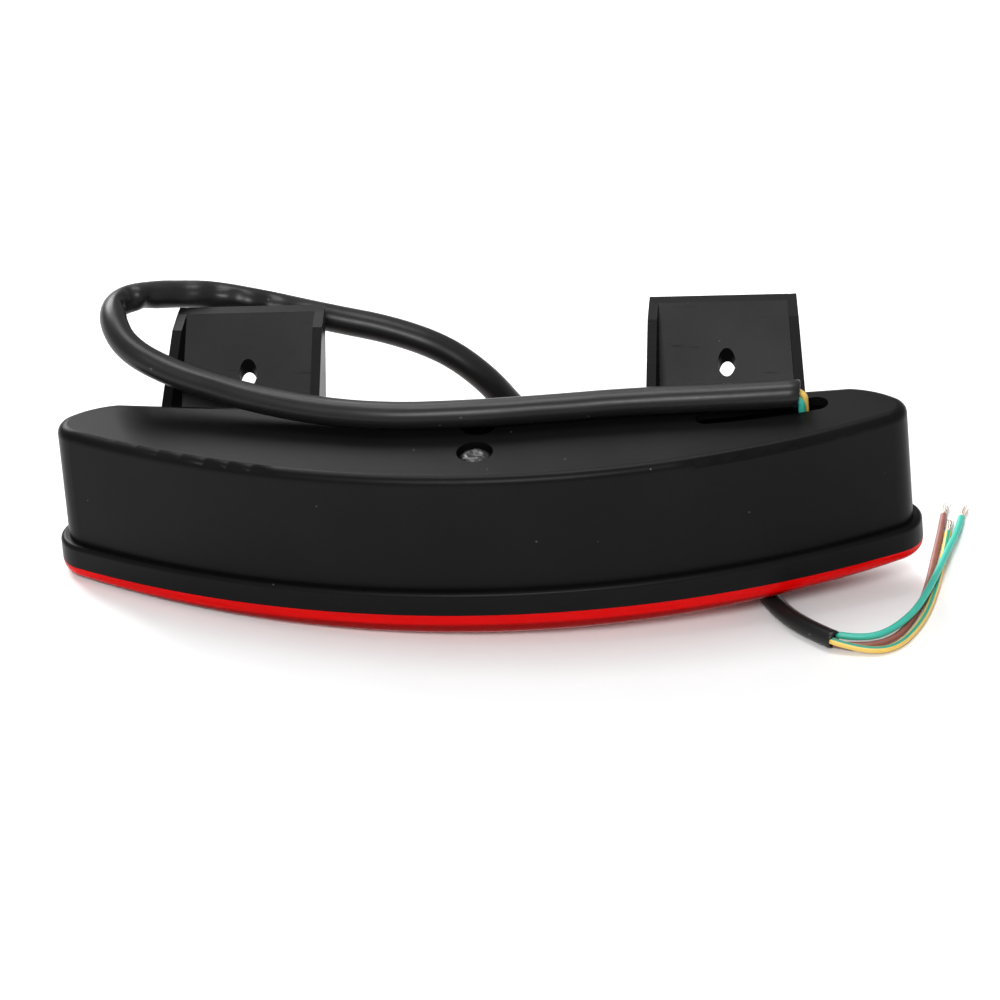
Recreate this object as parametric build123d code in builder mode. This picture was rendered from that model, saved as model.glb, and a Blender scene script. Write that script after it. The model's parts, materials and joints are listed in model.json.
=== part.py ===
from build123d import *
import math
import os

# Tail light for a rear fender edge, standing on its lens with its two mounting tabs up.
# It is drawn level, with the crown of the crescent at y = 0 and the lens at the bottom.
# Each finished piece is then put at rest by one location: the domed lens rocks over on to
# the lamp's own lead, which passes under its right half. Millimetres, +Z up.

# ---- driving dimensions ----
crown_r = 225.0  # front wall of the crescent, seen from above
rear_r = 900.0  # rear wall, nearly straight
half_length = 110.0  # centre to the end wall's front corner
depth = 35.5  # crown to rear wall at the centre
rear_half = 92.0  # centre to the end wall's rear corner
end_slope = 5.8  # the middle of each end wall, inwards from its front corner
end_bulge = 0.8  # and rearwards of its own middle, so that it bows out
back_z = 45.2  # level of the flat back face
flange_top = 12.7  # top of the band around the lens
joint_z = 6.4  # where the housing and the lens meet
flange_step = 2.2  # how far the band stands out
wall = 2.5
edge_r = 2.6  # rounding of the back face's rim
band_r = 1.3  # rounding of the band's upper rim
corner_r = 6.0  # upright corners
dome_r = 2000.0  # the lens face, seen from the front

lens_wall = 2.5
lens_round = 3.4
groove_inset = 1.9  # from the band's outside to the groove that takes the lens
groove_w = 1.9
groove_deep = 2.6
tongue_gap = 0.2
tongue_high = 2.0

tab_in = 43.5  # the clear width of each tab's plate runs between these
tab_out = 76.0
tab_tip_y = 62.6
tab_tip_z = 56.6
tab_lean = 52.0  # the plate's slope above level, in degrees
tab_t = 2.5
gusset_t = 2.4
outer_splay = 6.0  # how far the outer gusset turns in towards the tip, in degrees
gusset_chamfer = 4.6  # down the plate from its tip to the gusset's shoulder
gusset_deep = 4.8  # how far the shoulder stands off the plate
bolt_hole_r = 2.2
bolt_hole_x = 60.5
bolt_hole_y = 53.2

peg_y = 12.8
peg_r = 2.9
peg_cup_r = 4.6
peg_cup_deep = 2.2
pocket_y = 25.4
pocket_r = 4.75
pocket_deep = 13.0
boss_wall = 1.8
slot_w = 6.0
slot_points = ((57.0, 26.4), (71.0, 28.6), (84.0, 31.9))

board_z = 26.0  # underside of the circuit board
board_t = 1.6
board_gap = 0.8
reflector_z = 13.6
reflector_t = 7.0
reflector_gap = 0.6
cup_mouth_r = 6.2
cup_throat_r = 3.3
cup_pitch = 13.8
running_row = (214.5, 14)  # radius about the crown's centre, and how many
brake_row = (200.5, 5)
led_r = 2.5
led_rim_r = 2.9
led_rim_t = 1.0
led_long = 8.6
screw_x = 69.0
screw_y = 17.6
post_r = 3.4
pilot_r = 1.1
screw_head_r = 2.2
screw_head_t = 1.8
screw_long = 10.0
resistor_r = 207.0  # the resistors' row
resistor = (3.2, 1.6, 0.6)
diode = (4.3, 2.6, 2.1)

wire_d = 1.8
sleeve_d = 7.2
tail_d = 4.8
solder_r = 1.7
solder_high = 1.0
sleeve_mouth_x = 78.1  # where the inner leads meet the sleeve
lead_rise_z = 39.8  # where each wire stands upright under the slot
lead_paths = {"yellow": ((85.0, 29.5), (81.3, 30.95, 49.3), 2.4),
              "green": ((80.2, 26.0), (80.6, 29.1, 48.6), 2.4),
              "brown": ((77.0, 32.0), (80.6, 32.8, 48.6), 2.4)}  # pad, top of the rise, bend
sealant_place = (81.0, 29.3)
sealant_size = (14.0, 11.0, 4.0)
strand_r = 0.75
resistor_angles = [a for a in range(-20, 13, 4) if a]  # degrees either side of the middle
diode_places = [(54.0, 19.5), (60.5, 27.0), (68.0, 26.5)]

tilt = 2.25  # how far the lamp leans over on to its lead, in degrees

# ---- the lead's route, at rest, with the lamp's centre at x = y = 0 and the floor at 0 ----
sleeve_route = [(76.0, -1.3, 53.5), (57.5, -2.5, 52.75), (37.6, -3.2, 52.0), (17.8, -5.3, 51.2),
                (-2.0, -7.4, 50.5), (-24.0, -7.9, 49.7), (-43.0, -4.6, 49.2), (-62.0, 0.6, 50.2),
                (-79.0, 6.9, 52.2), (-91.0, 12.2, 56.0), (-96.0, 21.6, 59.4), (-94.2, 30.4, 59.6),
                (-85.4, 36.4, 57.6), (-73.5, 40.0, 55.6), (-59.0, 40.8, 52.2), (-42.6, 41.2, 48.0),
                (-27.0, 40.0, 45.4), (-13.0, 37.6, 41.2), (-3.0, 36.0, 33.6), (3.6, 36.0, 24.6),
                (11.0, 37.6, 15.2), (21.5, 40.2, 8.0), (34.0, 40.4, 4.4), (44.0, 37.2, 3.7)]
tail_route = [(44.0, 37.2, 3.7), (50.0, 35.28, 3.28), (56.6, 29.6, 2.6), (61.4, 20.4, 2.45),
              (64.2, 9.6, 2.45), (66.0, -1.8, 2.45), (69.0, -12.6, 2.45), (74.2, -22.2, 2.45),
              (80.6, -29.4, 2.45), (87.1, -34.0, 2.45)]
green_route = [(88.3, -33.2, 3.1), (93.6, -34.2, 2.8), (100.5, -32.4, 2.95),
               (107.1, -23.1, 3.0), (110.6, -12.0, 3.05), (113.1, -1.0, 3.0), (115.0, 8.5, 2.5),
               (116.6, 16.5, 1.4), (117.4, 24.0, 1.0)]
brown_route = [(87.6, -34.4, 1.15), (94.4, -35.5, 1.0), (102.9, -32.0, 1.0),
               (107.5, -21.1, 0.95), (110.0, -9.0, 0.95), (111.1, 4.3, 0.95),
               (112.2, 15.0, 0.95), (112.9, 25.1, 0.95)]
yellow_route = [(86.9, -35.5, 2.9), (94.0, -37.5, 1.5), (103.1, -36.4, 1.0),
                (108.9, -25.2, 1.0), (111.5, -13.9, 0.95), (113.3, 2.0, 0.95),
                (114.3, 17.0, 0.95)]
strand_long = 6.0


def crescent(grow=0.0):
    """The lamp's outline seen from above, made larger or smaller all round."""
    front_y = crown_r - math.sqrt(crown_r**2 - half_length**2)
    rear_y = depth + rear_r - math.sqrt(rear_r**2 - rear_half**2)
    front, rear = (half_length, front_y), (rear_half, rear_y)
    mid = (half_length - end_slope, (front_y + rear_y) / 2 + end_bulge)
    with BuildSketch() as outline:
        with BuildLine():
            ThreePointArc((-front[0], front_y), (0, 0), front)
            ThreePointArc(front, mid, rear)
            ThreePointArc(rear, (0, depth), (-rear[0], rear_y))
            ThreePointArc((-rear[0], rear_y), (-mid[0], mid[1]), (-front[0], front_y))
        make_face()
        if grow:
            offset(amount=grow, kind=Kind.INTERSECTION, mode=Mode.REPLACE)
        corners = outline.vertices().filter_by(lambda v: abs(v.X) > half_length / 2)
        fillet(corners, radius=corner_r + grow)
    return outline.sketch


def on_arc(radius, angle):
    """A point on an arc about the crown's centre, at an angle from the lamp's middle."""
    turn = math.radians(angle)
    return (radius * math.sin(turn), crown_r - radius * math.cos(turn))


def row_angles(radius, count):
    """The angles of evenly spaced places along a row, in degrees."""
    step = math.degrees(cup_pitch / radius)
    return [step * (i - (count - 1) / 2) for i in range(count)]


def row_places(radius, count):
    return [on_arc(radius, angle) for angle in row_angles(radius, count)]


def bend_radii(route):
    """The largest arc at each corner of a route, from its shorter run and its turn."""
    points = [Vector(*p) for p in route]
    radii = []
    for before, here, after in zip(points, points[1:], points[2:]):
        turn = (here - before).get_angle(after - here)
        shorter = min((here - before).length, (after - here).length)
        radii.append(0.45 * shorter / math.tan(math.radians(turn / 2)))
    return radii


def across_start(route):
    """A plane across the route's first run, where its round section is drawn."""
    start = Vector(*route[0])
    return Plane(origin=start, z_dir=Vector(*route[1]) - start)


running_places = row_places(*running_row)
brake_places = row_places(*brake_row)
screw_places = [(-screw_x, screw_y), (screw_x, screw_y)]
cavity_top = back_z - wall
board_top = board_z + board_t
reflector_top = reflector_z + reflector_t

# ---- one of the two tabs: a plate that leans away from the rear wall, and two gussets ----
lean = math.radians(tab_lean)
down = (-math.cos(lean), -math.sin(lean))  # down the plate from its tip, as (y, z)
proud = (-math.sin(lean), math.cos(lean))  # off the plate towards the crown
root_y = depth + 1.0  # just inside the rear wall where the tabs join it
root_z = tab_tip_z - (tab_tip_y - root_y) * math.tan(lean)
plate_level = tab_t / math.sin(lean)  # the plate's thickness measured level
plate_upright = tab_t / math.cos(lean)  # and measured upright
turn_in = math.radians(outer_splay)
outer_spread = (tab_tip_y - root_y) * math.tan(turn_in)
shoulder_y = tab_tip_y + gusset_chamfer * down[0] + gusset_deep * proud[0]
shoulder_z = tab_tip_z + gusset_chamfer * down[1] + gusset_deep * proud[1]

with BuildPart() as tab:
    with BuildSketch(Plane.YZ.offset(tab_in)):
        with BuildLine():
            Polyline((root_y, root_z), (tab_tip_y, tab_tip_z),
                     (tab_tip_y + plate_level, tab_tip_z), (root_y, root_z - plate_upright),
                     close=True)
        make_face()
    extrude(amount=tab_out + outer_spread - tab_in)
    with BuildSketch():
        with BuildLine():
            Polyline((tab_in, root_y), (tab_out + outer_spread, root_y), (tab_out, tab_tip_y),
                     (tab_out, tab_tip_y + plate_level), (tab_in, tab_tip_y + plate_level),
                     close=True)
        make_face()
    extrude(amount=2 * back_z, mode=Mode.INTERSECT)
    for gusset_x, splay in ((tab_in - gusset_t / 2, 0.0), (tab_out + gusset_t / 2, turn_in)):
        inward = (-math.sin(splay), math.cos(splay), 0)
        level = (math.cos(splay), math.sin(splay), 0)
        upright = Plane(origin=(gusset_x, tab_tip_y, 0), x_dir=inward, z_dir=level)
        with BuildSketch(upright):
            with BuildLine():
                Polyline((root_y - tab_tip_y, back_z - edge_r / 2),
                         (shoulder_y - tab_tip_y, shoulder_z), (0, tab_tip_z),
                         (plate_level, tab_tip_z),
                         (root_y - tab_tip_y, root_z - plate_upright), close=True)
            make_face()
        extrude(amount=gusset_t / 2, both=True)

# ---- housing: a deep black moulding, open at the lens side, with its two tabs ----
with BuildPart() as housing:
    with BuildSketch(Plane.XY.offset(joint_z)):
        add(crescent(flange_step))
    extrude(amount=flange_top - joint_z)
    fillet(housing.faces().sort_by(Axis.Z)[-1].edges(), radius=band_r)
    with BuildSketch(Plane.XY.offset(joint_z)):
        add(crescent())
    extrude(amount=back_z - joint_z)
    fillet(housing.faces().sort_by(Axis.Z)[-1].edges(), radius=edge_r)
    with BuildSketch(Plane.XY.offset(joint_z)):
        add(crescent(-wall))
    extrude(amount=cavity_top - joint_z, mode=Mode.SUBTRACT)
    # The groove in the open rim that takes the lens.
    with BuildSketch(Plane.XY.offset(joint_z)):
        add(crescent(flange_step - groove_inset))
        add(crescent(flange_step - groove_inset - groove_w), mode=Mode.SUBTRACT)
    extrude(amount=groove_deep, mode=Mode.SUBTRACT)
    # Posts for the board's screws, and walls inside for the two round recesses.
    with BuildSketch(Plane.XY.offset(board_top)):
        with Locations(*screw_places):
            Circle(post_r)
    extrude(amount=cavity_top - board_top)
    with BuildSketch(Plane.XY.offset(cavity_top)):
        with Locations((0, pocket_y)):
            Circle(pocket_r + boss_wall)
    extrude(amount=wall - pocket_deep - boss_wall)
    with BuildSketch(Plane.XY.offset(cavity_top)):
        with Locations((0, peg_y)):
            Circle(peg_cup_r + boss_wall)
    extrude(amount=wall - peg_cup_deep - boss_wall)
    with BuildSketch(Plane.XY.offset(back_z)):
        with Locations((0, pocket_y)):
            Circle(pocket_r)
    extrude(amount=-pocket_deep, mode=Mode.SUBTRACT)
    with BuildSketch(Plane.XY.offset(back_z)):
        with Locations((0, peg_y)):
            Circle(peg_cup_r)
    extrude(amount=-peg_cup_deep, mode=Mode.SUBTRACT)
    with BuildSketch(Plane.XY.offset(back_z)):
        with Locations((0, peg_y)):
            Circle(peg_r)
    extrude(amount=-3 * peg_cup_deep, mode=Mode.SUBTRACT)
    with BuildSketch(Plane.XY.offset(board_top)):
        with Locations(*screw_places):
            Circle(pilot_r)
    extrude(amount=screw_long, mode=Mode.SUBTRACT)
    # The slot that the wires leave by.
    with BuildSketch(Plane.XY.offset(back_z)):
        with BuildLine(mode=Mode.PRIVATE) as slot_line:
            ThreePointArc(*slot_points)
        SlotArc(slot_line.edge(), slot_w)
    extrude(amount=-2 * wall, mode=Mode.SUBTRACT)
    add(tab.part)
    add(mirror(tab.part, about=Plane.YZ))
    with BuildSketch(Plane.XY.offset(back_z + depth)):
        with Locations((-bolt_hole_x, bolt_hole_y), (bolt_hole_x, bolt_hole_y)):
            Circle(bolt_hole_r)
    extrude(amount=-2 * depth, mode=Mode.SUBTRACT)

# ---- lens: a clear red shell with a domed face, its rim in the housing's groove ----
with BuildPart() as lens_hollow:
    with BuildSketch():
        add(crescent(flange_step - lens_wall))
    extrude(amount=joint_z)
    with BuildSketch(Plane.XZ):
        with Locations((0, lens_wall + dome_r)):
            Circle(dome_r)
    extrude(amount=2 * depth, both=True, mode=Mode.INTERSECT)

with BuildPart() as lens:
    with BuildSketch():
        add(crescent(flange_step))
    extrude(amount=joint_z)
    with BuildSketch(Plane.XZ):
        with Locations((0, dome_r)):
            Circle(dome_r)
    extrude(amount=2 * depth, both=True, mode=Mode.INTERSECT)
    fillet(lens.faces().sort_by(Axis.Z)[0].edges(), radius=lens_round)
    add(lens_hollow.part, mode=Mode.SUBTRACT)
    with BuildSketch(Plane.XY.offset(joint_z)):
        add(crescent(flange_step - groove_inset - tongue_gap))
        add(crescent(flange_step - groove_inset - groove_w + tongue_gap), mode=Mode.SUBTRACT)
    extrude(amount=tongue_high)
    with BuildSketch(Plane.XY.offset(joint_z - 1)):
        add(crescent(flange_step - groove_inset - tongue_gap))
        add(crescent(flange_step - groove_inset - groove_w + tongue_gap), mode=Mode.SUBTRACT)
    extrude(amount=1)

with BuildPart() as lens_seal:
    with BuildSketch(Plane.XY.offset(joint_z + tongue_high)):
        add(crescent(flange_step - groove_inset))
        add(crescent(flange_step - groove_inset - groove_w), mode=Mode.SUBTRACT)
    extrude(amount=groove_deep - tongue_high)

# ---- reflector: a bright tray of cups, held by one peg through the back of the housing ----
bottom_up = (Align.CENTER, Align.CENTER, Align.MIN)

with BuildPart() as reflector:
    with BuildSketch(Plane.XY.offset(reflector_z)):
        add(crescent(-wall - reflector_gap))
    extrude(amount=reflector_t)
    with Locations(*[(x, y, reflector_z) for x, y in running_places + brake_places]):
        Cone(cup_mouth_r, cup_throat_r, reflector_t, align=bottom_up, mode=Mode.SUBTRACT)
    with BuildSketch(Plane.XY.offset(reflector_top)):
        with Locations((0, peg_y)):
            Circle(peg_r)
    extrude(amount=back_z - reflector_top - edge_r / 2)
    fillet(reflector.faces().sort_by(Axis.Z)[-1].edges(), radius=peg_r / 3)

# ---- circuit board and what is soldered to it ----
with BuildPart() as circuit_board:
    with BuildSketch(Plane.XY.offset(board_z)):
        add(crescent(-wall - board_gap))
        with Locations((0, peg_y)):
            Circle(peg_r + 0.5, mode=Mode.SUBTRACT)
        with Locations(*screw_places):
            Circle(pilot_r, mode=Mode.SUBTRACT)
    extrude(amount=board_t)


def led_group(places):
    """Round lamps that hang from the board with their domes down, one in each cup."""
    dome_z = board_z - led_long + led_r
    with BuildPart() as group:
        with Locations(*[(x, y, dome_z) for x, y in places]):
            Sphere(led_r)
            Cylinder(led_r, board_z - dome_z, align=bottom_up)
        with Locations(*[(x, y, board_z - led_rim_t) for x, y in places]):
            Cylinder(led_rim_r, led_rim_t, align=bottom_up)
    return group


running_leds = led_group(running_places)
brake_leds = led_group(brake_places)

with BuildPart() as resistors:
    for angle in resistor_angles:
        seat = Plane(origin=(*on_arc(resistor_r, angle), board_top), x_dir=(1, 0, 0))
        with BuildSketch(seat.rotated((0, 0, angle))):
            Rectangle(*resistor[:2])
        extrude(amount=resistor[2])

with BuildPart() as diodes:
    for x, y in diode_places:
        with BuildSketch(Plane.XY.offset(board_top)):
            with Locations((x, y)):
                Rectangle(*diode[:2])
        extrude(amount=diode[2], taper=6)

with BuildPart() as board_screws:
    for x, y in screw_places:
        with BuildSketch(Plane.XY.offset(board_z - screw_head_t)):
            with Locations((x, y)):
                Circle(screw_head_r)
        extrude(amount=screw_head_t)
        with BuildSketch(Plane.XY.offset(board_z)):
            with Locations((x, y)):
                Circle(pilot_r)
        extrude(amount=screw_long)
    heads = board_screws.faces().sort_by(Axis.Z)[:2]
    fillet(heads.edges(), radius=0.5)

# ---- leads inside: from the board, up through the slot and over into the sleeve ----
leads = {}
joints = []
for colour, (pad, (rise_x, rise_y, top_z), turn_r) in lead_paths.items():
    stops = [(*pad, board_top), (*pad, board_top + 4), (rise_x, rise_y, lead_rise_z),
             (rise_x, rise_y, top_z), (sleeve_mouth_x, rise_y, top_z)]
    with BuildPart() as lead:
        with BuildLine():
            path = FilletPolyline(*stops, radius=[3.0, 3.0, turn_r - 0.1])
        with BuildSketch(Plane(origin=stops[0], z_dir=(0, 0, 1))):
            Circle(wire_d / 2)
        sweep(path=path)
    leads[colour] = lead
    joints.append(pad)

with BuildPart() as solder_joints:
    with Locations(*[(x, y, board_top) for x, y in joints]):
        Cone(solder_r, wire_d / 2, solder_high, align=bottom_up)
    for lead in leads.values():
        add(lead.part, mode=Mode.SUBTRACT)

with BuildPart() as lead_sealant:
    with BuildSketch(Plane.XY.offset(board_top)):
        with Locations(sealant_place):
            RectangleRounded(*sealant_size[:2], radius=2.5)
    extrude(amount=sealant_size[2])
    fillet(lead_sealant.faces().sort_by(Axis.Z)[-1].edges(), radius=1.5)
    for inside in [solder_joints, *leads.values()]:
        add(inside.part, mode=Mode.SUBTRACT)

# ---- at rest: leaning over on the lead, centred, with the lens on the floor ----
leant = Rot(0, -tilt, 0)
standing = Compound([leant * housing.part, leant * lens.part]).bounding_box()
rest = Pos(-standing.center().X, -standing.center().Y, -standing.min.Z) * leant
print("lamp at rest", standing.size, "moved by", rest.position)

# ---- the free lead: its sleeve, the pinched end under the lens, and three wires ----
cords = {}
for name, route, width in (("cable_sleeve", sleeve_route, sleeve_d),
                           ("cable_sleeve_end", tail_route, tail_d),
                           ("wire_green", green_route, wire_d),
                           ("wire_brown", brown_route, wire_d),
                           ("wire_yellow", yellow_route, wire_d)):
    radii = bend_radii(route)
    with BuildPart() as cord:
        with BuildLine():
            path = FilletPolyline(*route, radius=radii)
        with BuildSketch(across_start(route)):
            Circle(width / 2)
        sweep(path=path)
    length = path.length
    expected = math.pi * width**2 / 4 * length
    cords[name] = cord
    print(name, "length", round(length, 1), "volume share", round(cord.part.volume / expected, 4),
          "radii in diameters", [round(r / width, 1) for r in radii])

strands = {}
for colour, route in (("green", green_route), ("brown", brown_route), ("yellow", yellow_route)):
    start = Vector(*route[-1])
    onward = (start - Vector(*route[-2])).normalized()
    with BuildPart() as ends:
        with BuildSketch(Plane(origin=start, z_dir=onward)):
            Circle(strand_r)
        with BuildSketch(Plane(origin=start + strand_long * onward, z_dir=onward)):
            Circle(strand_r * 0.7)
        loft()
    strands[colour] = ends

# ---- write each piece in its own file ----
os.makedirs("parts", exist_ok=True)
level_pieces = {"housing": housing, "lens": lens, "lens_seal": lens_seal,
                "reflector": reflector, "circuit_board": circuit_board,
                "running_leds": running_leds, "brake_leds": brake_leds,
                "resistors": resistors, "diodes": diodes, "board_screws": board_screws,
                "solder_joints": solder_joints, "lead_sealant": lead_sealant}
for colour, lead in leads.items():
    level_pieces["lead_" + colour] = lead
for name, piece in level_pieces.items():
    piece.part = rest * piece.part
for colour, ends in strands.items():
    cords["strands_" + colour] = ends
for name, piece in {**level_pieces, **cords}.items():
    piece.part.label = name
    export_step(piece.part, "parts/" + name + ".step")
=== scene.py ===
# %% [markdown]
# # A tail light standing on its lens
#
# This is a curved motorcycle tail light: a deep black housing, a clear red lens under it,
# two leaning tabs for its bolts, and a lead that lies over the lamp and ends in three bare
# wires. The rigid pieces come from the CAD model, which is loaded first and never changed.
# What Blender adds is the lead with its kinks, the copper strands, the melted peg and
# the finish of every surface.

# %% Load the frame
import json
import math

import bmesh
import bpy
from mathutils import Matrix, Vector, noise


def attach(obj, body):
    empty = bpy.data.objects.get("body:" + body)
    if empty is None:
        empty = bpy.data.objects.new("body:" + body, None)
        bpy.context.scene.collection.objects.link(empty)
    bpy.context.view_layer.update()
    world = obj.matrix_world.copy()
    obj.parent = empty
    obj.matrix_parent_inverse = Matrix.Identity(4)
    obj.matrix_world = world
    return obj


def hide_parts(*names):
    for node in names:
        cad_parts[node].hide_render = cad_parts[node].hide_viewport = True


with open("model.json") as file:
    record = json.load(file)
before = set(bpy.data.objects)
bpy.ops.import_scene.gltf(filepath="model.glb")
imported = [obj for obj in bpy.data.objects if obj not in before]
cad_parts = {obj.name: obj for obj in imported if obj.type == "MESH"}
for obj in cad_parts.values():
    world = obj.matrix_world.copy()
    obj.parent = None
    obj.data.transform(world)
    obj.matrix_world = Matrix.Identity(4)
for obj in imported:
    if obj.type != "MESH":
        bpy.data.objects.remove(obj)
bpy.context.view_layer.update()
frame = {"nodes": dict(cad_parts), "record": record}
nodes = frame["nodes"]

# %% [markdown]
# ## Where things are
#
# Lengths are in metres. The lamp is drawn level in CAD and then leans over a little, because
# its own lead lies under one half of the lens. A detail on the lamp is easiest to place in
# the lamp's own level frame, so one matrix takes a level point to where the lamp stands.
# The record's bolt holes point straight up in that frame, which gives the lean.

# %% The lamp's own level frame
MM = 0.001
hole = frame["record"]["mounts"][0]
LEAN = math.atan2(-hole["axis"][0], hole["axis"][2])
LAMP_ORIGIN = Vector((0.344, -31.840, 1.542)) * MM
LAMP = Matrix.Translation(LAMP_ORIGIN) @ Matrix.Rotation(-LEAN, 4, "Y")
BACK_Z = 45.2 * MM
print("the lamp leans by", round(math.degrees(LEAN), 2), "degrees")

# %% [markdown]
# ## Camera
#
# A product picture of a long, low object is taken from well back with a long lens, so that
# its ends are not drawn out. The camera stands in front of the crown wall, a little to the
# right, and looks down by about a third of a right angle. It is also turned a little about
# its own line of sight, so its rotation is built from its three axes.

# %% Camera
CAMERA_TURN = math.radians(5.47)
CAMERA_HEIGHT = math.radians(32.8)
CAMERA_ROLL = math.radians(-2.29)
CAMERA_BACK = 2.38
CAMERA_LENS = 342.2
LOOKS_RIGHT, LOOKS_UP = 2.65 * MM, -6.84 * MM  # of the lamp's middle, across the view
aim = Vector((0.4, -1.8, 29.54)) * MM

towards = Vector((math.sin(CAMERA_TURN) * math.cos(CAMERA_HEIGHT),
                  -math.cos(CAMERA_TURN) * math.cos(CAMERA_HEIGHT),
                  math.sin(CAMERA_HEIGHT)))
level_right = (-towards).cross(Vector((0, 0, 1))).normalized()
level_up = level_right.cross(-towards)
right = level_right * math.cos(CAMERA_ROLL) + level_up * math.sin(CAMERA_ROLL)
up = level_up * math.cos(CAMERA_ROLL) - level_right * math.sin(CAMERA_ROLL)
aim += right * LOOKS_RIGHT + up * LOOKS_UP

bpy.ops.object.camera_add()
camera = bpy.context.object
camera.data.lens = CAMERA_LENS
camera.data.clip_end = 20
camera.matrix_world = Matrix.Translation(aim + towards * CAMERA_BACK) @ Matrix(
    (right, up, towards)).transposed().to_4x4()
bpy.context.scene.camera = camera
print("camera at", [round(v, 3) for v in camera.location])

# %% [markdown]
# ## The lead's routes
#
# A cord is one smooth curve. Its points are listed and are the same as in CAD, in
# millimetres: out of the slot, leftwards along the back, tightly round the left tab, down
# behind the lamp to the floor, and forward under the lens, where the lamp's weight pinches
# it. A NURBS spline follows such points without the corners of straight runs.

# %% Routes
SLEEVE_D = 7.2 * MM
PINCHED_D = 4.8 * MM
WIRE_D = 1.8 * MM

sleeve_route = [
    (76.0, -1.3, 53.5), (57.5, -2.5, 52.75), (37.6, -3.2, 52.0), (17.8, -5.3, 51.2),
    (-2.0, -7.4, 50.5), (-24.0, -7.9, 49.7), (-43.0, -4.6, 49.2), (-62.0, 0.6, 50.2),
    (-79.0, 6.9, 52.2), (-91.0, 12.2, 56.0), (-96.0, 21.6, 59.4), (-94.2, 30.4, 59.6),
    (-85.4, 36.4, 57.6), (-73.5, 40.0, 55.6), (-59.0, 40.8, 52.2), (-42.6, 41.2, 48.0),
    (-27.0, 40.0, 45.4), (-13.0, 37.6, 41.2), (-3.0, 36.0, 33.6), (3.6, 36.0, 24.6),
    (11.0, 37.6, 15.2), (21.5, 40.2, 8.0), (34.0, 40.4, 4.4), (44.0, 37.2, 3.7),
    (50.0, 35.28, 3.28), (56.6, 29.6, 2.6), (61.4, 20.4, 2.45), (64.2, 9.6, 2.45),
    (66.0, -1.8, 2.45), (69.0, -12.6, 2.45), (74.2, -22.2, 2.45), (80.6, -29.4, 2.45),
    (87.1, -34.0, 2.45)]
wire_routes = {
    "green": [(88.3, -33.2, 3.1), (93.6, -34.2, 2.8), (100.5, -32.4, 2.95),
              (107.1, -23.1, 3.0), (110.6, -12.0, 3.05), (113.1, -1.0, 3.0),
              (115.0, 8.5, 2.5), (116.6, 16.5, 1.4), (117.4, 24.0, 1.0)],
    "brown": [(87.6, -34.4, 1.15), (94.4, -35.5, 1.0), (102.9, -32.0, 1.0),
              (107.5, -21.1, 0.95), (110.0, -9.0, 0.95), (111.1, 4.3, 0.95),
              (112.2, 15.0, 0.95), (112.9, 25.1, 0.95)],
    "yellow": [(86.9, -35.5, 2.9), (94.0, -37.5, 1.5), (103.1, -36.4, 1.0),
               (108.9, -25.2, 1.0), (111.5, -13.9, 0.95), (113.3, 2.0, 0.95),
               (114.3, 17.0, 0.95)]}


def smooth_line(route):
    """The points of the smooth curve that a route's points control, in metres."""
    curve = bpy.data.curves.new("route", "CURVE")
    curve.dimensions = "3D"
    spline = curve.splines.new("NURBS")
    spline.points.add(len(route) - 1)
    for point, place in zip(spline.points, route):
        point.co = (*(Vector(place) * MM), 1)
    spline.order_u = 3
    spline.use_endpoint_u = True
    spline.resolution_u = 12
    carrier = bpy.data.objects.new("route", curve)
    line = bpy.data.meshes.new_from_object(carrier)
    points = [vertex.co.copy() for vertex in line.vertices]
    bpy.data.objects.remove(carrier)
    bpy.data.curves.remove(curve)
    bpy.data.meshes.remove(line)
    return points


def line_length(points):
    return sum((b - a).length for a, b in zip(points, points[1:]))


sleeve_line = smooth_line(sleeve_route)
print("sleeve", round(line_length(sleeve_line), 4), "m in", len(sleeve_line), "points")

# %% [markdown]
# ## A tube that can kink
#
# A curve with a round bevel would do for a perfect cord, but a soft sleeve flattens and
# wrinkles on the inside of a tight bend. So the tube is a mesh: a ring of points is carried
# along the line without twisting, and each ring's shape comes from a function of how far
# along it is, of the way out from the line and of how sharply the line bends that way. Each
# end turns in over a rounded lip to a floor inside. A UV map runs round and along the tube,
# in turns and in metres, for stripes and scuffs that follow the surface.

# %% Tube
ROUNDED = 0.25 * MM  # how far the lip's edge is turned in


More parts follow.
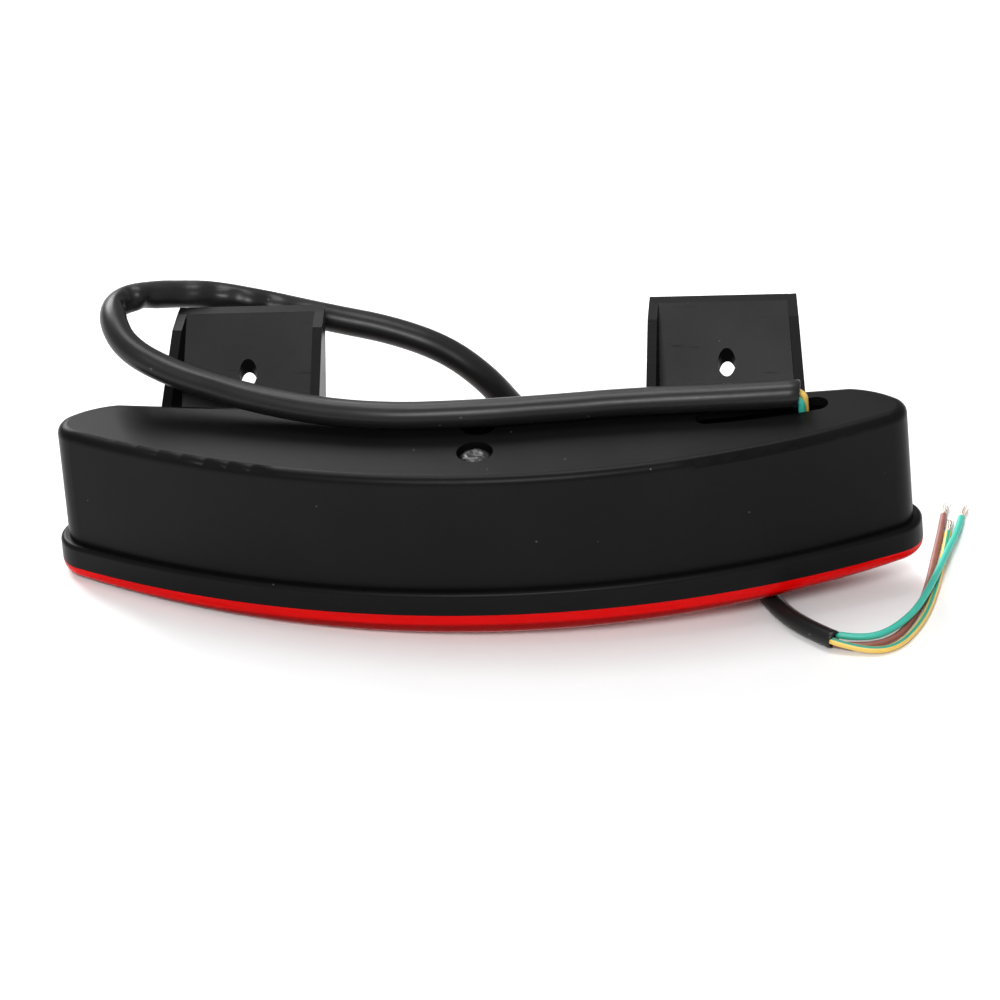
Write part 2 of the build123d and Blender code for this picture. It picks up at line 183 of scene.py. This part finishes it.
def add_tube(mesh, line, radius_at, sides, lips=(0.0, 0.0), floor=0.6, slant=0.0):
    """Adds a tube to a bmesh; radius_at takes the distance, the way out and the bend.
    Each end's lip stands past the line's end, by slant more at its top than half-way."""
    uv = mesh.loops.layers.uv.verify()
    tangents = []
    for i in range(len(line)):
        tangents.append((line[min(i + 1, len(line) - 1)] - line[max(i - 1, 0)]).normalized())
    side = tangents[0].cross(Vector((0, 0, 1))).normalized()
    rings, travelled = [], 0.0
    for i, (here, tangent) in enumerate(zip(line, tangents)):
        if i:
            travelled += (here - line[i - 1]).length
        side = (side - tangent * side.dot(tangent)).normalized()
        top = side.cross(tangent)
        span = (line[min(i + 1, len(line) - 1)] - line[max(i - 1, 0)]).length
        bend = (tangents[min(i + 1, len(line) - 1)] - tangents[max(i - 1, 0)]) / span
        ring = []
        for k in range(sides):
            angle = 2 * math.pi * k / sides
            out = side * math.cos(angle) + top * math.sin(angle)
            ring.append((out, radius_at(travelled, out, out.dot(bend))))
        rings.append((here, ring, travelled))

    def lip_rows(place, outward, lip, ring, distance):
        """The rings of one end's lip, from its outside round to its floor."""
        rows = []
        for back, wide in ((ROUNDED, 1.0), (0.0, 1 - ROUNDED / ring[0][1]), (0.0, floor + 0.06),
                           (ROUNDED, floor), (lip * 0.8, floor)):
            row = [(out, radius * wide, outward * (lip - back) * (1 + slant * out.z))
                   for out, radius in ring]
            rows.append((place, row, distance))
        return rows

    rows = [(place, [(out, radius, Vector()) for out, radius in ring], distance)
            for place, ring, distance in rings]
    if lips[0]:
        rows = lip_rows(line[0], -tangents[0], lips[0], rings[0][1], 0.0)[::-1] + rows
    if lips[1]:
        rows += lip_rows(line[-1], tangents[-1], lips[1], rings[-1][1], travelled)
    made = [[mesh.verts.new(place + out * radius + shift) for out, radius, shift in row]
            for place, row, distance in rows]
    for i, (a, b) in enumerate(zip(made, made[1:])):
        for k in range(sides):
            j = (k + 1) % sides
            face = mesh.faces.new((a[k], a[j], b[j], b[k]))
            face.smooth = True
            for loop, turn, row in zip(face.loops, (k, k + 1, k + 1, k), (i, i, i + 1, i + 1)):
                loop[uv].uv = (turn / sides, rows[row][2])
    mesh.faces.new(made[0][::-1])
    mesh.faces.new(made[-1])


def piece_from(mesh, name):
    """A new object from a bmesh, with its faces pointing outwards."""
    bmesh.ops.recalc_face_normals(mesh, faces=mesh.faces)
    data = bpy.data.meshes.new(name)
    mesh.to_mesh(data)
    mesh.free()
    piece = bpy.data.objects.new(name, data)
    bpy.context.collection.objects.link(piece)
    return piece


# %% [markdown]
# ## The sleeve
#
# The black sleeve is soft vinyl. At its sharpest turn it has folded: the inside is pushed in
# to a crease, and a second crease crosses the side that faces up. Past the fold the sleeve is
# still crushed in a few places. Each crease or dent is a line of four values, and all of
# them work in the same way: the skin is pushed in, most at the middle and less with the
# distance along the sleeve and with the angle from the dent's own direction. Under the lens
# the sleeve narrows to the thickness of the three wires in it.

# %% Sleeve
NARROWS_FROM, NARROWS_TO = 0.318, 0.352
BUCKLES_AT, BUCKLED_AT = 40.0, 110.0  # the bend, in radians per metre
FLATTENED = 0.10  # the share of its radius that the inside of a tight bend loses
THINNER, UNEVEN = 0.015, 0.018  # shares that keep its small waves inside its diameter
dents = [  # distance along, half length, direction pushed in, depth as a share of the radius
    (0.1875, 2.6 * MM, Vector((0.95, -0.1, 0.1)), 0.46),
    (0.1915, 1.5 * MM, Vector((0.35, -0.75, 0.55)), 0.34),
    (0.1965, 1.8 * MM, Vector((0.2, -0.9, -0.2)), 0.22),
    (0.2070, 3.2 * MM, Vector((0.0, -0.5, 0.85)), 0.16),
    (0.2150, 3.0 * MM, Vector((0.0, -0.75, 0.6)), 0.30),
    (0.2205, 2.2 * MM, Vector((0.1, -0.9, 0.2)), 0.22),
    (0.2285, 2.4 * MM, Vector((0.0, -0.8, 0.5)), 0.26),
    (0.2360, 3.6 * MM, Vector((0.0, -0.6, 0.8)), 0.12),
    (0.1470, 5.0 * MM, Vector((0.0, -1.0, -0.2)), 0.09),
    (0.2760, 5.0 * MM, Vector((0.4, -0.8, 0.3)), 0.08),
]


def ease(value, low, high):
    """0 below low and 1 above high, with a smooth change between."""
    t = min(max((value - low) / (high - low), 0.0), 1.0)
    return t * t * (3 - 2 * t)


def sleeve_radius(distance, out, bend):
    narrowed = ease(distance, NARROWS_FROM, NARROWS_TO)
    radius = SLEEVE_D / 2 + (PINCHED_D - SLEEVE_D) / 2 * narrowed
    shape = 1 - FLATTENED * ease(bend, BUCKLES_AT, BUCKLED_AT)
    for middle, half, direction, depth in dents:
        gap = (distance - middle) / half
        if abs(gap) < 3:
            facing = ease(out.dot(direction.normalized()), 0.15, 0.95)
            shape -= depth * facing * math.exp(-gap * gap)
    wave = noise.noise(Vector((distance * 70, out.y * 0.8, out.z * 0.8)))
    return radius * (shape - THINNER + UNEVEN * wave)


tube = bmesh.new()
add_tube(tube, sleeve_line, sleeve_radius, 32, lips=(2.2 * MM, 1.0 * MM), floor=0.76, slant=0.3)
sleeve = piece_from(tube, "lead_sleeve")
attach(sleeve, "root")
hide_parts("cable_sleeve", "cable_sleeve_end")
print("sleeve faces", len(sleeve.data.polygons))

# %% [markdown]
# ## The three wires and their copper
#
# Each wire is a thinner tube of the same kind. Its end is stripped, and the copper strands
# spread as they do when a finger has rolled them: each strand leaves the insulation in line
# with the wire and then bends a little its own way. Their starts are spread over the wire's
# section by the golden angle. They are one piece for each wire, made of thin tubes.

# %% Wires
STRANDS = 9
STRAND_R = 0.16 * MM
STRAND_STEPS = 8
STRAND_SHIFT = 0.3 * MM  # how far a strand wanders by its tip
GOLDEN_TURN = 0.381966
BARE_LONG = 6.4 * MM
SPREAD = {"green": 1.15 * MM, "brown": 0.9 * MM, "yellow": 0.7 * MM}


def wire_radius(distance, out, bend):
    return WIRE_D / 2 * (1 + 0.02 * noise.noise(Vector((distance * 180, 3.1, 0.0))))


def strand_radius(distance, out, bend):
    return STRAND_R


wires, strands = {}, {}
for turn, (colour, route) in enumerate(wire_routes.items()):
    line = smooth_line(route)
    tube = bmesh.new()
    add_tube(tube, line, wire_radius, 16, lips=(0.0, 0.3 * MM), floor=0.62)
    wires[colour] = piece_from(tube, "lead_wire_" + colour)

    onward = (line[-1] - line[-3]).normalized()
    across = onward.cross(Vector((0, 0, 1))).normalized()
    above = across.cross(onward)
    tube = bmesh.new()
    for k in range(STRANDS):
        angle = 2 * math.pi * (k * GOLDEN_TURN + turn / 3)
        out = 0.9 * math.sqrt(k / STRANDS)
        spot = across * math.cos(angle) + above * math.sin(angle) * 0.6
        hair = []
        for step in range(STRAND_STEPS + 1):
            t = step / STRAND_STEPS
            wave = noise.noise(Vector((k * 2.3, turn * 5.1, t * 1.7))) * STRAND_SHIFT * t
            place = (line[-1] + onward * (BARE_LONG * (1 - 0.12 * (k % 3)) * t - 0.5 * MM)
                     + spot * (out * 0.5 * MM + SPREAD[colour] * out * t**1.6) + across * wave)
            place.z = max(place.z, STRAND_R + 0.02 * MM)
            hair.append(place)
        add_tube(tube, hair, strand_radius, 8)
    strands[colour] = piece_from(tube, "lead_strands_" + colour)

    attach(wires[colour], "root")
    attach(strands[colour], "root")
    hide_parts("wire_" + colour)
    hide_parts("strands_" + colour)
    print(colour, "wire", round(line_length(line), 4), "m")

# %% [markdown]
# ## The melted peg
#
# The reflector inside is held by one plastic peg that was pushed through the housing and
# melted flat into a round cup. It could be a plain disc, but a melted head is lumpy, with
# a ragged rim and a soft dent where the hot tool pressed. A sphere is flattened, and its
# points are then moved by noise, which keeps it closed.

# %% Peg head
PEG_Y = 12.8 * MM
PEG_HEAD_R = 3.75 * MM
PEG_HEAD_UP = 0.85 * MM
CUP_FLOOR = BACK_Z - 2.2 * MM
RAGGED = 0.13  # the share by which its rim goes in and out
LUMP_HIGH = 0.16 * MM
DENT_DEEP = 0.45 * MM

bpy.ops.object.select_all(action="DESELECT")
bpy.ops.mesh.primitive_uv_sphere_add(segments=64, ring_count=32, radius=PEG_HEAD_R)
peg_head = bpy.context.object
peg_head.name = "melted_peg"
for vertex in peg_head.data.vertices:
    flat = math.hypot(vertex.co.x, vertex.co.y) / PEG_HEAD_R
    lumps = noise.fractal(vertex.co * 900, 0.7, 2.1, 4)
    wide = 1 + RAGGED * noise.noise(Vector((vertex.co.x, vertex.co.y, 0)) * 650)
    vertex.co.x *= wide
    vertex.co.y *= wide
    dent = DENT_DEEP * (1 - ease(flat, 0.15, 0.6))
    high = vertex.co.z * 2 * PEG_HEAD_UP / PEG_HEAD_R
    vertex.co.z = max(high, -0.2 * MM) + (lumps * LUMP_HIGH - dent) * (vertex.co.z > 0)
peg_head.data.transform(LAMP @ Matrix.Translation((0, PEG_Y, CUP_FLOOR + 0.2 * MM)))
bpy.ops.object.shade_smooth()
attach(peg_head, "root")
print("peg head", len(peg_head.data.polygons), "faces")

# %% [markdown]
# ## Writing shader maths as Python
#
# A procedural material is a tree of nodes. Wired by hand it is hard to read, so one small
# class wraps a socket and gives it the usual signs: `1 - mask` adds the Math node for it.
# Any other node comes from one method, which takes the node's type, its settings and the
# values or links of its sockets.

# %% Sockets and finishes
class Value:
    """A socket whose value varies over a surface, with arithmetic that adds Math nodes."""

    def __init__(self, finish, socket):
        self.finish, self.socket = finish, socket

    def maths(self, operation, *values):
        return self.finish.node("ShaderNodeMath", {"operation": operation}, *values)

    def __add__(self, other):
        return self.maths("ADD", self, other)

    def __sub__(self, other):
        return self.maths("SUBTRACT", self, other)

    def __rsub__(self, other):
        return self.maths("SUBTRACT", other, self)

    def __mul__(self, other):
        return self.maths("MULTIPLY", self, other)

    __radd__ = __add__
    __rmul__ = __mul__

    def between(self, low, high):
        """0 at low and 1 at high, which may be the lower number, and flat beyond them."""
        return self.finish.node("ShaderNodeMapRange", {"interpolation_type": "SMOOTHSTEP"},
                                self, low, high, 0.0, 1.0)


class Finish:
    """A material: constants go straight on its shader, and patterns through nodes."""

    def __init__(self, name, **constants):
        self.material = bpy.data.materials.new(name)
        self.material.use_nodes = True
        self.tree = self.material.node_tree
        self.shader = self.tree.nodes["Principled BSDF"]
        for key, value in constants.items():
            self.shader.inputs[key.replace("_", " ")].default_value = value
        self.place = self.node("ShaderNodeTexCoord", {}, out="Object")

    def node(self, kind, settings, *values, out=0, **sockets):
        made = self.tree.nodes.new(kind)
        for key, value in settings.items():
            setattr(made, key, value)
        named = {s.identifier: s for s in made.inputs}
        targets = [(made.inputs[i], value) for i, value in enumerate(values)]
        targets += [(named[key] if key in named else made.inputs[key.replace("_", " ")], value)
                    for key, value in sockets.items()]
        for target, value in targets:
            if isinstance(value, Value):
                self.tree.links.new(value.socket, target)
            else:
                target.default_value = value
        outputs = {s.identifier: s for s in made.outputs}
        return Value(self, outputs[out] if out in outputs else made.outputs[out])

    def noise(self, scale, detail=3.0, place=None):
        return self.node("ShaderNodeTexNoise", {}, Vector=place or self.place, Scale=scale,
                         Detail=detail)

    def along(self, axis, place=None):
        return self.node("ShaderNodeSeparateXYZ", {}, place or self.place, out=axis)

    def stretched(self, scale, place=None):
        return self.node("ShaderNodeMapping", {}, place or self.place, Scale=scale)

    def specks(self, scale, size, share):
        """Small dots, size across a cell of the pattern, in only a share of its cells."""
        settings = {"feature": "F1"}
        near = self.node("ShaderNodeTexVoronoi", settings, Vector=self.place, Scale=scale)
        picked = self.node("ShaderNodeTexVoronoi", settings, Vector=self.place, Scale=scale,
                           out="Color")
        chosen = self.along("X", picked).between(1 - share, 1 - share + 0.01)
        return near.between(size, size * 0.5) * chosen

    def blend(self, mask, under, over):
        return self.node("ShaderNodeMix", {"data_type": "RGBA"}, Factor_Float=mask,
                         A_Color=under, B_Color=over, out="Result_Color")

    def bump(self, height, strength, distance):
        relief = self.node("ShaderNodeBump", {}, Strength=strength, Distance=distance,
                           Height=height)
        self.tree.links.new(relief.socket, self.shader.inputs["Normal"])

    def drives(self, **sockets):
        for key, value in sockets.items():
            self.tree.links.new(value.socket, self.shader.inputs[key.replace("_", " ")])
        return self

    def on(self, *pieces):
        """Puts this finish on pieces, or on CAD nodes by name."""
        for piece in pieces:
            piece = nodes[piece] if isinstance(piece, str) else piece
            if not piece.material_slots:
                piece.data.materials.append(None)
            for slot in piece.material_slots:
                slot.material = self.material
        print(self.material.name, "with", len(self.tree.nodes), "nodes")


def grey(value):
    return (value, value, value, 1)


# %% [markdown]
# ## Black housing
#
# The housing is moulded in black plastic with a half gloss. Up close it is not even: the
# mould leaves a fine grain, broad areas are a little shinier than others, handling has
# left faint hairlines, and pale dust sits on it. Roughness carries most of that, because on
# black plastic one sees reflections much more than colour.

# %% Housing finish
housing_finish = Finish("black_moulding", Specular_IOR_Level=0.085)
grain = housing_finish.noise(2600, 2.0)
cloud = housing_finish.noise(38, 4.0)
hairlines = housing_finish.noise(90, 2.0, housing_finish.stretched((1.0, 14.0, 14.0)))
scuffed = hairlines.between(0.66, 0.74)
dust = housing_finish.specks(420, 0.13, 0.03) + housing_finish.specks(170, 0.035, 0.10)
roughness = 0.27 + cloud * 0.12 + grain * 0.05 + scuffed * 0.06
base = housing_finish.blend(cloud, grey(0.0028), grey(0.0065))
base = housing_finish.blend(dust * 0.5, base, (0.16, 0.155, 0.15, 1))
housing_finish.drives(Base_Color=base, Roughness=roughness + dust * 0.3)
housing_finish.bump(grain + cloud * 2.0, 0.28, 0.05 * MM)
housing_finish.on("housing")

peg_finish = Finish("melted_black", Specular_IOR_Level=0.5)
peg_lumps = peg_finish.noise(1400, 5.0)
peg_finish.drives(Base_Color=peg_finish.blend(peg_lumps, grey(0.006), grey(0.03)),
                  Roughness=0.22 + peg_lumps * 0.4)
peg_finish.bump(peg_lumps, 0.6, 0.12 * MM)
peg_finish.on(peg_head)

# %% [markdown]
# ## Red lens
#
# The lens is clear red acrylic. Its side wall shows fine lines along the lamp from the
# mould. Its colour also carries painted shade, a darker line low down where the face curves
# under and away from the light, and a painted reflection, a paler pink edge below that for
# the light the floor throws back. A small share of transmission lets the lens glow on to
# the floor, while its colour stays strong enough to read as red.

# %% Lens finish
lens_finish = Finish("clear_red_acrylic", IOR=1.49, Transmission_Weight=0.1,
                     Specular_IOR_Level=0.05)
lens_level = (lens_finish.along("Z") * math.cos(LEAN) - lens_finish.along("X") * math.sin(LEAN)
              - LAMP_ORIGIN.z)
# painted shade: a darker band low on the lens wall, where its face curves under, away from the
# light
painted_shade_line = lens_level.between(0.9 * MM, 1.5 * MM) * lens_level.between(4.2 * MM, 3.2 * MM)
# painted reflection: a pale pink edge at the bottom of the lens, standing in for light from the
# floor
painted_floor_reflection = lens_level.between(1.1 * MM, 0.6 * MM)
fine = lens_finish.node(
    "ShaderNodeMath", {"operation": "SINE"}, lens_level * (2 * math.pi / (0.55 * MM)))
flow = lens_finish.noise(60, 3.0, lens_finish.stretched((1.0, 1.0, 12.0)))
lens_base = lens_finish.blend(flow, (0.56, 0.0008, 0.001, 1), (0.74, 0.002, 0.002, 1))
# the painted shade band is laid over the red here
lens_base = lens_finish.blend(painted_shade_line * 0.8, lens_base, (0.17, 0.0004, 0.0006, 1))
# the painted floor reflection is laid over the red here
lens_base = lens_finish.blend(painted_floor_reflection * 0.8, lens_base, (0.85, 0.38, 0.36, 1))
lens_finish.drives(Base_Color=lens_base, Roughness=0.09 + flow * 0.12)
lens_finish.bump(fine * 0.25 + flow, 0.16, 0.05 * MM)
lens_finish.on("lens")

# %% [markdown]
# ## Sleeve, wires and copper
#
# Soft vinyl has a broad highlight and picks up faint lines as it is drawn through a die.
# The wires are the same material in colours: brown, blue-green, and yellow with a thin
# green stripe that runs along it. The stripe reads the tube's UV map, so that it follows
# the wire round its bends. The copper strands are tinned, so they look more grey than red,
# and some are brighter than others.

# %% Lead finishes
sleeve_finish = Finish("black_vinyl", Specular_IOR_Level=0.3)
tube_uv = sleeve_finish.node("ShaderNodeTexCoord", {}, out="UV")
drawn = sleeve_finish.noise(1.0, 3.0, sleeve_finish.stretched((46.0, 60.0, 1.0), tube_uv))
vinyl = sleeve_finish.noise(700, 3.0)
lint = sleeve_finish.specks(380, 0.16, 0.07)
vinyl_base = sleeve_finish.blend(drawn, grey(0.006), grey(0.012))
sleeve_finish.drives(Base_Color=sleeve_finish.blend(lint * 0.4, vinyl_base, grey(0.15)),
                     Roughness=0.26 + drawn * 0.12 + vinyl * 0.08)
sleeve_finish.bump(drawn + vinyl * 0.5, 0.3, 0.06 * MM)
sleeve_finish.on(sleeve)

wire_colours = {"green": ((0.028, 0.40, 0.31, 1), (0.05, 0.50, 0.38, 1)),
                "brown": ((0.23, 0.075, 0.055, 1), (0.34, 0.13, 0.10, 1)),
                "yellow": ((0.80, 0.50, 0.08, 1), (0.88, 0.62, 0.16, 1))}
STRIPE_AT, STRIPE_HALF = 0.22, 0.06
for colour, (deep, pale) in wire_colours.items():
    finish = Finish("vinyl_" + colour, Specular_IOR_Level=0.5)
    mottle = finish.noise(500, 3.0)
    base = finish.blend(mottle, deep, pale)
    if colour == "yellow":
        turn = finish.along("X", finish.node("ShaderNodeTexCoord", {}, out="UV"))
        off = finish.node("ShaderNodeMath", {"operation": "ABSOLUTE"}, turn - STRIPE_AT)
        base = finish.blend(off.between(STRIPE_HALF + 0.02, STRIPE_HALF), base,
                            (0.02, 0.33, 0.24, 1))
    finish.drives(Base_Color=base, Roughness=0.32 + mottle * 0.2)
    finish.bump(mottle, 0.2, 0.04 * MM)
    finish.on(wires[colour], "lead_" + colour)

copper_finish = Finish("copper_hairs", Metallic=1.0)
tarnish = copper_finish.noise(800, 2.0)
copper_finish.drives(Base_Color=copper_finish.blend(tarnish, (0.60, 0.46, 0.38, 1),
                                                    (0.92, 0.86, 0.80, 1)),
                     Roughness=0.25 + tarnish * 0.25)
copper_finish.on(*strands.values())

# %% [markdown]
# ## What is inside
#
# Through the red lens one would see a bright reflector tray with a lamp in each cup, and
# behind it the circuit board. These hardly show while the lamp stands on its lens, but the
# part is turned over in use, so each of them has its own finish.

# %% Inside finishes
bright = Finish("metallised_plastic", Metallic=1.0)
haze = bright.noise(120, 4.0)
bright.drives(Base_Color=bright.blend(haze, grey(0.70), grey(0.86)),
              Roughness=0.08 + haze * 0.16)
bright.bump(haze, 0.1, 0.1 * MM)
bright.on("reflector")

board = Finish("green_board", Specular_IOR_Level=0.5)
weave = board.noise(1500, 2.0)
tracks = board.node("ShaderNodeTexVoronoi", {"distance": "CHEBYCHEV"}, Vector=board.place,
                    Scale=330)
board.drives(Base_Color=board.blend(tracks.between(0.30, 0.38), (0.012, 0.11, 0.035, 1),
                                    (0.03, 0.20, 0.07, 1)),
             Roughness=0.28 + weave * 0.2)
board.bump(tracks.between(0.30, 0.38) + weave * 0.3, 0.3, 0.05 * MM)
board.on("circuit_board")

for name, colour, pieces in (("red_epoxy", (0.50, 0.01, 0.01, 1), ("running_leds", "brake_leds")),
                             ("potting", (0.46, 0.43, 0.36, 1), ("lead_sealant",)),
                             ("seal_bead", grey(0.014), ("lens_seal",)),
                             ("chip_epoxy", grey(0.02), ("resistors", "diodes"))):
    finish = Finish(name, Specular_IOR_Level=0.5)
    uneven = finish.noise(420, 4.0)
    dark = tuple(0.7 * part for part in colour[:3]) + (1,)
    finish.drives(Base_Color=finish.blend(uneven, dark, colour), Roughness=0.15 + uneven * 0.35)
    finish.bump(uneven, 0.15, 0.06 * MM)
    finish.on(*pieces)

for name, colour, pieces in (("zinc_plate", (0.62, 0.63, 0.66, 1), ("board_screws",)),
                             ("tin_solder", (0.66, 0.66, 0.68, 1), ("solder_joints",))):
    finish = Finish(name, Metallic=1.0)
    worn = finish.noise(900, 3.0)
    dark = tuple(0.75 * part for part in colour[:3]) + (1,)
    finish.drives(Base_Color=finish.blend(worn, dark, colour), Roughness=0.2 + worn * 0.3)
    finish.on(*pieces)

# %% [markdown]
# ## Floor and light
#
# The floor is plain and nearly white. Black plastic is lit by what it reflects, so the
# lights are large and soft: one above and behind draws the flat back and the ridges, one
# above the camera lifts the faces of the tabs, and one overhead lifts the sleeve. The wall
# that faces the camera reflects only the floor and stays the darkest.

# %% Floor and light
bpy.ops.object.select_all(action="DESELECT")
bpy.ops.mesh.primitive_plane_add(size=12)
floor = bpy.context.object
floor.name = "floor"
paper = Finish("paper", Specular_IOR_Level=0.1)
fibre = paper.noise(40, 2.0)
paper.drives(Base_Color=paper.blend(fibre, grey(0.90), grey(0.93)), Roughness=0.85 + fibre * 0.1)
paper.on(floor)


def soft_light(name, place, size, watts):
    """A square light at a place, in metres, that faces the lamp."""
    bpy.ops.object.light_add(type="AREA", location=place)
    light = bpy.context.object
    light.name = name
    light.data.size = size
    light.data.energy = watts
    light.rotation_euler = (-Vector(place)).to_track_quat("-Z", "Y").to_euler()


soft_light("back_light", (-0.85, 1.3, 1.1), 0.9, 40)
soft_light("front_light", (-0.12, -1.45, 1.38), 0.55, 20)
soft_light("top_light", (-0.1, 0.35, 1.7), 0.7, 12)

world = bpy.data.worlds.new("studio")
bpy.context.scene.world = world
world.use_nodes = True
world.node_tree.nodes["Background"].inputs["Color"].default_value = (1, 1, 1, 1)
world.node_tree.nodes["Background"].inputs["Strength"].default_value = 0.45
bpy.context.scene.view_settings.view_transform = "Standard"
